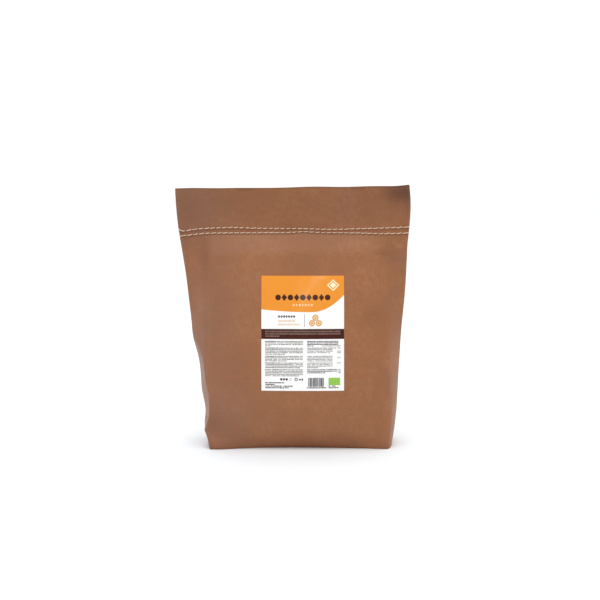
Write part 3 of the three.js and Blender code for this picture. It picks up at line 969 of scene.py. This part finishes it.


# Painted shade: the darker spots, a dark line just under the cut edge and one under each row of stitches.
painted_shade, painted_cool_grey = spots(PAINTED_SHADE_SPOTS), spots(PAINTED_COOL_CAST)
painted_shade += EDGE_SHADE * smooth(TOP - EDGE_FROM, TOP - EDGE_FULL, stored["up"])
for row in (LOWER_ROW, UPPER_ROW):
    painted_shade += GROOVE_SHADE * bell(stored["up"], row - GROOVE_UNDER, GROOVE_REACH)
for name, values in (("worn", creased), ("painted_shade", painted_shade), ("painted_cool_grey", painted_cool_grey)):
    bag.data.attributes.new(name, "FLOAT", "POINT").data.foreach_set("value", values.astype(np.float32))
for name in stored:
    bag.data.attributes.remove(bag.data.attributes[name])
print("worn share of the paper:", round(float((creased > 0.3).mean()), 3))

# %% [markdown]
# Brown kraft paper. Up close it is a felt of fibres, longest the way the paper ran through the machine, with
# darker flecks and cloudy patches. It has been calendered, so it has a low sheen that shows where it is seen
# edge on. One noise gives only one size of grain, so six are laid over each other, each at its own scale and
# stretch. They follow the paper's own UV map, which is in metres, so they run unbroken over the folds.

# %% Kraft paper material
KRAFT_DARK, KRAFT_PALE, KRAFT_REDDISH = srgb(128, 82, 51), srgb(168, 116, 78), srgb(151, 89, 60)
FLECK_BROWN, WORN_BROWN = srgb(104, 62, 38), srgb(198, 156, 126)
PAINTED_SHADE_BROWN, PAINTED_COOL_BROWN = srgb(88, 50, 34), srgb(126, 98, 90)
GRAINS = {  # scale across and up the sheet, detail and roughness
    "clouds": (16.0, 16.0, 3.0, 0.6),
    "formation": (130.0, 130.0, 3.0, 0.65),
    "streaks": (620.0, 110.0, 3.0, 0.7),
    "fibres": (2600.0, 420.0, 4.0, 0.65),
    "felt": (900.0, 900.0, 3.0, 0.6),
    "flecks": (900.0, 340.0, 2.0, 0.5),
}
TINTS = (  # grain, where its tint begins and is full, the least and the most of it, and the tint
    ("clouds", 0.3, 0.7, 0.18, 0.82, KRAFT_PALE),
    ("formation", 0.36, 0.66, 0.0, 0.8, KRAFT_REDDISH),
    ("streaks", 0.36, 0.66, 0.0, 0.42, KRAFT_DARK),
    ("fibres", 0.35, 0.65, 0.0, 0.55, KRAFT_PALE),
    ("flecks", 0.66, 0.74, 0.0, 0.3, FLECK_BROWN),
)
# Of these marks, wear is the paper's own; the second and the third are painted light, a cool grey cast and
# shade.
MARKS = (("worn", 0.22, WORN_BROWN), ("painted_cool_grey", 0.42, PAINTED_COOL_BROWN), ("painted_shade", 0.42, PAINTED_SHADE_BROWN))
SMOOTHEST, ROUGHEST, PAPER_GLOSS = 0.38, 0.5, 0.24
FORMATION_RELIEF, RELIEF_STRENGTH, RELIEF_HEIGHT = 2.2, 0.25, 0.0002

kraft = Graph(bpy.data.materials.new("kraft_paper"))
sheet_uv = kraft.uv("paper")
grains = {}
for name, (scale_across, scale_up, detail, roughness) in GRAINS.items():
    stretched = kraft.stretch(sheet_uv, (scale_across, scale_up, 1.0))
    grains[name] = kraft.noise(stretched, 1.0, detail, roughness)
brown = KRAFT_DARK
for name, begins, full, least, most, tint in TINTS:
    brown = kraft.mix_colour(kraft.ramp(grains[name], begins, full, least, most), brown, tint)
for name, share, tint in MARKS:
    brown = kraft.mix_colour(kraft.math("MULTIPLY", kraft.attribute(name), share), brown, tint)
kraft.feed(kraft.shader.inputs["Base Color"], brown)
kraft.feed(kraft.shader.inputs["Roughness"], kraft.ramp(grains["felt"], 0.3, 0.7, SMOOTHEST, ROUGHEST))
kraft.shader.inputs["Specular IOR Level"].default_value = PAPER_GLOSS
fine_relief = kraft.math("ADD", grains["fibres"], grains["felt"])
fine_relief = kraft.math("MULTIPLY_ADD", grains["formation"], FORMATION_RELIEF, fine_relief)
kraft.bump(fine_relief, RELIEF_STRENGTH, RELIEF_HEIGHT)
bag.data.materials.append(kraft.owner)
print("kraft paper:", len(grains), "grains in", len(kraft.tree.nodes), "nodes")

# %% [markdown]
# The print on the label is fields of colour and simple shapes. Every field is drawn in the label's own UV
# map, with u from the left and v from the top, by masks that are 1 inside a shape and 0 outside: a rectangle,
# a disc, a lozenge, or a block of fine lines broken into word-long dashes. Each mask lays one ink over what
# is below. The mesh could be cut along the shapes instead, but print has no thickness, and its edges are
# finer than a grid.

# %% Print helpers
WHITE_PAPER = srgb(250, 250, 248)
NOTCH, WORD = 0.55, 2.2  # mm, a step in the rough edge of a fine line and about half a dash
THINNEST, THICKEST = 0.2, 0.36  # half the height of a fine line, as a share of the pitch
WORD_GAPS = 0.37  # a higher one leaves more room between words
NEXT_LINE = 7.31  # how far apart two lines are in the noise that breaks them


class Print(Graph):
    """The label's graph: shapes are given in shares of its width and height."""

    def __init__(self, name):
        super().__init__(bpy.data.materials.new(name))
        parts = self.node("ShaderNodeSeparateXYZ", {"Vector": self.uv("print")})
        self.u, self.v = parts.outputs["X"], parts.outputs["Y"]
        self.colour = WHITE_PAPER

    def between(self, value, low, high):
        over, under = self.math("GREATER_THAN", value, low), self.math("LESS_THAN", value, high)
        return self.math("MULTIPLY", over, under)

    def rectangle(self, u0, u1, v0, v1):
        return self.math("MULTIPLY", self.between(self.u, u0, u1), self.between(self.v, v0, v1))

    def offset_mm(self, u, v):
        across = self.math("MULTIPLY", self.math("SUBTRACT", self.u, u), LABEL_WIDTH)
        down = self.math("MULTIPLY", self.math("SUBTRACT", self.v, v), LABEL_HEIGHT)
        return across, down

    def disc(self, u, v, radius, hole=0.0):
        squares = (self.math("POWER", distance, 2.0) for distance in self.offset_mm(u, v))
        away = self.math("SQRT", self.math("ADD", *squares))
        return self.between(away, hole - 0.001, radius)

    def ink(self, mask, colour, strength=1.0):
        factor = mask if strength == 1.0 else self.math("MULTIPLY", mask, strength)
        self.colour = self.mix_colour(factor, self.colour, colour)

    def lozenge(self, u, v, half_width, half_height, hole=0.0):
        offsets = zip(self.offset_mm(u, v), (half_width, half_height))
        shares = (self.math("DIVIDE", self.math("ABSOLUTE", offset), half) for offset, half in offsets)
        return self.between(self.math("ADD", *shares), hole - 0.001, 1.0)

    def row_of_marks(self, u0, u1, v, count, half_width, half_height):
        """Discs and taller lozenges in turn: both are where |x|^p + |y|^p is under 1, with p 2 or 1."""
        place = self.math("MULTIPLY", self.math("SUBTRACT", self.u, u0), count / (u1 - u0))
        tall = self.math("MODULO", self.math("ABSOLUTE", self.math("FLOOR", place)), 2.0)
        pitch = LABEL_WIDTH * (u1 - u0) / count
        x = self.math("DIVIDE", self.math("SUBTRACT", self.math("FRACT", place), 0.5), half_width / pitch)
        half = self.math("MULTIPLY_ADD", tall, half_height - half_width, half_width)
        y = self.math("DIVIDE", self.math("MULTIPLY", self.math("SUBTRACT", self.v, v), LABEL_HEIGHT), half)
        power = self.math("SUBTRACT", 2.0, tall)
        inside = self.math("ADD", *(self.math("POWER", self.math("ABSOLUTE", a), power) for a in (x, y)))
        return self.math("MULTIPLY", self.math("LESS_THAN", inside, 1.0), self.between(self.u, u0, u1))

    def line_place(self, top, pitch, first=0):
        """How many lines of print lie over a point; first is the number of the line at the top."""
        return self.math("MULTIPLY_ADD", self.v, 1 / pitch, first - top / pitch)

    def rough_lines(self, place, word=WORD):
        """Lines of dashes with rough edges."""
        number = self.math("FLOOR", place)
        notch = self.math("FLOOR", self.math("MULTIPLY", self.u, LABEL_WIDTH / NOTCH))
        draw = self.node("ShaderNodeTexWhiteNoise", {
            "Vector": self.node("ShaderNodeCombineXYZ", {"X": notch, "Y": number}).outputs["Vector"]})
        half_stroke = self.math("MULTIPLY_ADD", draw.outputs["Value"], THICKEST - THINNEST, THINNEST)
        from_middle = self.math("ABSOLUTE", self.math("SUBTRACT", self.math("FRACT", place), 0.5))
        stroke = self.math("LESS_THAN", from_middle, half_stroke)
        cell = self.node("ShaderNodeCombineXYZ", {
            "X": self.math("MULTIPLY", self.u, LABEL_WIDTH / word),
            "Y": self.math("MULTIPLY", number, NEXT_LINE)})
        words = self.math("GREATER_THAN", self.noise(cell.outputs["Vector"], 1.0, 2.0, 0.6), WORD_GAPS)
        return self.math("MULTIPLY", stroke, words)

    def block(self, place, u0, u1, first, lines, last):
        """The mask of a block of lines; its last line ends at the share last of the width."""
        on_last = self.math("GREATER_THAN", place, first + lines - 1)
        end = self.math("MULTIPLY_ADD", on_last, -(1 - last) * (u1 - u0), u1)
        return self.math("MULTIPLY", self.between(place, first, first + lines), self.between(self.u, u0, end))

    def ink_lines(self, place, blocks, colour, strength=1.0, word=WORD):
        """Blocks of fine lines: left end, right end, first line, lines, share of the last, how dark."""
        mask = 0.0
        for *block, dark in blocks:
            here = self.block(place, *block)
            here = here if dark == 1.0 else self.math("MULTIPLY", here, dark)
            mask = self.math("MAXIMUM", here, mask)
        self.ink(self.math("MULTIPLY", mask, self.rough_lines(place, word)), colour, strength)


print("a fine line fills at most", 2 * THICKEST, "of its pitch, and a dash is about", 2 * WORD, "mm long")

# %% [markdown]
# The upper part of the label: an orange field whose lower edge is a wide curve, highest on the right, rows
# of marks in the sizes of a headline and its smaller lines, nested lozenges, three ringed discs, and a brown
# band. The curve is two powers of the distance from its lowest point, one for each side.

# %% The label's upper part
ORANGE, CREAM, DARK_INK = srgb(236, 148, 48), srgb(255, 240, 200), srgb(72, 29, 10)
TAN, PALE_TAN, RULE_GREY = srgb(214, 160, 98), srgb(246, 216, 172), srgb(158, 148, 154)
BROWN_BAND, PALE_INK = srgb(68, 26, 10), srgb(196, 172, 160)
ORANGE_LEFT, ORANGE_LOW, ORANGE_LOW_AT, ORANGE_CURVE = 0.290, 0.314, 0.60, 2.08
NESTED_AT = (0.868, 0.082)
NESTED = ((7.2, 6.8, 0.76), (3.9, 3.7, 0.0))  # half width and half height in mm, and the hole's share
HEADLINES = (  # left end, right end, middle, count, half width and half height in mm, ink, strength
    (0.164, 0.839, 0.187, 9, 3.3, 4.1, DARK_INK, 1.0),
    (0.372, 0.628, 0.252, 7, 1.25, 1.5, CREAM, 0.55),
    (0.199, 0.411, 0.351, 7, 1.35, 1.9, DARK_INK, 0.9),
)
TAN_TOP, TAN_PITCH, TAN_FIRST, TAN_WORD = 0.375, 0.03, 200, 3.0
TAN_LINES = ((0.199, 0.41, 200, 1, 1.0, 1.0), (0.199, 0.468, 201, 1, 1.0, 1.0))
RULE, BAND = (0.517, 0.525, 0.331, 0.443), (-0.1, 1.1, 0.459, 0.547)  # left, right, top and foot
RINGS_AT = ((0.653, 0.361), (0.612, 0.409), (0.694, 0.409))
DISC_RADIUS, RING_RADIUS, RING_HOLE = 3.7, 2.3, 1.3
BAND_TOP, BAND_PITCH, BAND_FIRST = 0.4705, 0.0205, 300
BAND_LINES = ((0.045, 0.955, 300, 3, 0.19, 1.0),)

p = Print("label_print")
to_left = p.math("MAXIMUM", p.math("SUBTRACT", ORANGE_LOW_AT, p.u), 0.0)
to_right = p.math("MAXIMUM", p.math("SUBTRACT", p.u, ORANGE_LOW_AT), 0.0)
left_rise = p.math("MULTIPLY", p.math("POWER", to_left, 2.0), (ORANGE_LOW - ORANGE_LEFT) / ORANGE_LOW_AT**2)
right_rise = p.math("POWER", to_right, ORANGE_CURVE)
orange_edge = p.math("SUBTRACT", p.math("SUBTRACT", ORANGE_LOW, left_rise), right_rise)
p.ink(p.math("LESS_THAN", p.v, orange_edge), ORANGE)
for half_width, half_height, hole in NESTED:
    p.ink(p.lozenge(*NESTED_AT, half_width, half_height, hole), CREAM)
for *row, colour, inked in HEADLINES:
    p.ink(p.row_of_marks(*row), colour, inked)
p.ink_lines(p.line_place(TAN_TOP, TAN_PITCH, TAN_FIRST), TAN_LINES, TAN, 0.5, TAN_WORD)
p.ink(p.rectangle(*RULE), RULE_GREY)
for place in RINGS_AT:
    p.ink(p.disc(*place, DISC_RADIUS), TAN)
    p.ink(p.disc(*place, RING_RADIUS, RING_HOLE), PALE_TAN)
p.ink(p.rectangle(*BAND), BROWN_BAND)
p.ink_lines(p.line_place(BAND_TOP, BAND_PITCH, BAND_FIRST), BAND_LINES, PALE_INK, 0.27)
print("upper part of the label:", len(p.tree.nodes), "nodes")

# %% [markdown]
# Under the band are two columns of fine print. Both share one count of lines, which starts at the top of the
# columns and skips a little at each gap between two blocks, so that one pattern of dashes serves them all.

# %% The label's columns of fine print
GREY_INK = srgb(76, 56, 54)
COLUMNS_TOP, LINE_PITCH, GAP = 0.56, 0.0133, 0.4
GAPS_AFTER = (4, 9, 13, 17)
FINE_BLOCKS = (  # left end, right end, first line, number of lines, share of the last line, how dark
    (0.045, 0.503, 0, 4, 0.15, 0.8), (0.045, 0.503, 4, 5, 0.52, 0.8), (0.045, 0.503, 9, 4, 0.57, 0.8),
    (0.045, 0.503, 13, 4, 0.92, 0.8), (0.045, 0.503, 17, 5, 0.9, 0.8),
    (0.045, 0.18, 0, 1, 1.0, 1.0), (0.045, 0.2, 4, 1, 1.0, 1.0), (0.045, 0.16, 9, 1, 1.0, 1.0),
    (0.045, 0.17, 13, 1, 1.0, 1.0), (0.045, 0.2, 17, 1, 1.0, 1.0),
    (0.553, 0.93, 0, 3, 1.0, 1.0), (0.553, 0.63, 3, 1, 1.0, 0.9), (0.73, 0.955, 3, 1, 1.0, 0.7),
    (0.553, 0.955, 4, 1, 1.0, 0.8), (0.553, 0.86, 5, 3, 0.9, 0.75), (0.553, 0.86, 9, 8, 0.45, 0.75),
    (0.553, 0.92, 17, 3, 0.6, 0.95),
    (0.915, 0.96, 6, 2, 1.0, 0.7), (0.915, 0.96, 10, 1, 1.0, 0.7), (0.915, 0.96, 13, 1, 1.0, 0.7),
    (0.93, 0.96, 17, 3, 1.0, 0.7),
)

fine_place = raw_place = p.line_place(COLUMNS_TOP, LINE_PITCH)
for i, line in enumerate(GAPS_AFTER):
    past_gap = p.math("GREATER_THAN", raw_place, line + (i + 0.5) * GAP)
    fine_place = p.math("MULTIPLY_ADD", past_gap, -GAP, fine_place)
p.ink_lines(fine_place, FINE_BLOCKS, GREY_INK)
print("blocks of fine print:", len(FINE_BLOCKS))

# %% [markdown]
# The foot of the label has a short row of marks and rings, small lines, a patch of upright bars and a green
# field. The bars stand at an even pitch, and a draw for each makes it wide or narrow.

# %% The label's foot
MARK_INK, PALE_MARK = srgb(84, 58, 66), srgb(150, 130, 138)
BAR_INK, GREEN = srgb(46, 42, 44), srgb(148, 197, 79)
FOOT_MARKS = ((0.224, 0.322, 0.898, 3, 1.45, 2.1), (0.452, 0.508, 0.900, 2, 1.1, 2.0))
FOOT_RINGS = (  # place, radius and hole in mm, and ink
    (0.352, 0.898, 1.5, 1.1, PALE_MARK), (0.421, 0.898, 2.0, 1.05, MARK_INK),
)
FOOT_TOP, FOOT_PITCH, FOOT_FIRST = 0.9215, 0.0148, 400
FOOT_LINES = ((0.045, 0.275, 0), (0.045, 0.16, 1), (0.045, 0.377, 2), (0.045, 0.33, 3),
              (0.545, 0.785, 3), (0.812, 0.895, 2), (0.812, 0.935, 3))  # left end, right end and line
BARS, BARS_LEFT, BARS_RIGHT, BARS_TOP, BARS_FOOT = 19, 0.567, 0.761, 0.885, 0.964
THIN_BAR, BAR_RANGE = 0.42, 0.5  # of the pitch
GREEN_FIELD = (0.812, 0.954, 0.885, 0.951)

for row in FOOT_MARKS:
    p.ink(p.row_of_marks(*row), MARK_INK)
for *ring, colour in FOOT_RINGS:
    p.ink(p.disc(*ring), colour)
small_lines = [(left, right, FOOT_FIRST + line, 1, 1.0, 1.0) for left, right, line in FOOT_LINES]
p.ink_lines(p.line_place(FOOT_TOP, FOOT_PITCH, FOOT_FIRST), small_lines, GREY_INK)

bar_place = p.math("MULTIPLY", p.math("SUBTRACT", p.u, BARS_LEFT), BARS / (BARS_RIGHT - BARS_LEFT))
bar_draw = p.node("ShaderNodeTexWhiteNoise", {"W": p.math("FLOOR", bar_place)}, noise_dimensions="1D")
bar_width = p.math("MULTIPLY_ADD", bar_draw.outputs["Value"], BAR_RANGE, THIN_BAR)
bars = p.math("LESS_THAN", p.math("FRACT", bar_place), bar_width)
bars_patch = p.rectangle(BARS_LEFT, BARS_RIGHT, BARS_TOP, BARS_FOOT)
p.ink(p.math("MULTIPLY", bars, bars_patch), BAR_INK)
p.ink(p.rectangle(*GREEN_FIELD), GREEN)
print("whole print:", len(p.tree.nodes), "nodes")

# %% [markdown]
# Label paper is smoother than kraft, with a thin varnish that gives a soft gloss. The shader's coat is that
# varnish, and a faint grain keeps it from looking like plastic.

# %% Finish of the label
GRAIN_SCALE, GRAIN_STRENGTH, GRAIN_HEIGHT = 3.0, 0.04, 0.0002
LABEL_FINISH = {"Specular IOR Level": 0.06, "Coat Weight": 0.3, "Coat Roughness": 0.085}

p.feed(p.shader.inputs["Base Color"], p.colour)
grain = p.noise(p.stretch(p.uv("print"), (97.0, 134.0, 1.0)), GRAIN_SCALE, 3.0)
p.feed(p.shader.inputs["Roughness"], p.ramp(grain, 0.3, 0.7, 0.34, 0.42))
for socket, value in LABEL_FINISH.items():
    p.shader.inputs[socket].default_value = value
p.bump(grain, GRAIN_STRENGTH, GRAIN_HEIGHT)
label.data.materials.append(p.owner)
print("label print:", len(p.tree.nodes), "nodes")

# %% [markdown]
# Cotton thread is a pale cream, duller in the hollows between its strands, with a fuzz of loose fibres that
# catches light at its edges. Real fuzz would be thousands of hairs, so a little sheen stands for it.

# %% Thread material
THREAD_SHADE, THREAD_CREAM = srgb(214, 180, 152), srgb(238, 212, 188)
LINT_SCALE = 1800.0

cotton = Graph(bpy.data.materials.new("cotton_thread"))
lint = cotton.noise(cotton.node("ShaderNodeTexCoord").outputs["Object"], LINT_SCALE, 3.0, 0.6)
cream = cotton.mix_colour(cotton.ramp(lint, 0.3, 0.7), THREAD_SHADE, THREAD_CREAM)
cotton.feed(cotton.shader.inputs["Base Color"], cream)
cotton.shader.inputs["Roughness"].default_value = 0.85
cotton.shader.inputs["Sheen Weight"].default_value = 0.3
cotton.bump(lint, 0.3, 0.0001)
for thread, _ in threads:
    thread.data.materials.append(cotton.owner)
print("materials:", kraft.owner.name, p.owner.name, cotton.owner.name)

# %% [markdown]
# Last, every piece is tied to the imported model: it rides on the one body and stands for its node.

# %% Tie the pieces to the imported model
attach(bag, "root")
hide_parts("paper_bag")
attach(label, "root")
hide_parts("front_label")
for thread, node in threads:
    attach(thread, "root")
    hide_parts(node)
print("tied:", bag.name, label.name, *(thread.name for thread, _ in threads))

# %% [markdown]
# The scene is brought up to date at the end. The dressed bag may pass the imported model's box only by a
# little.

# %% Update the scene
bpy.context.view_layer.update()
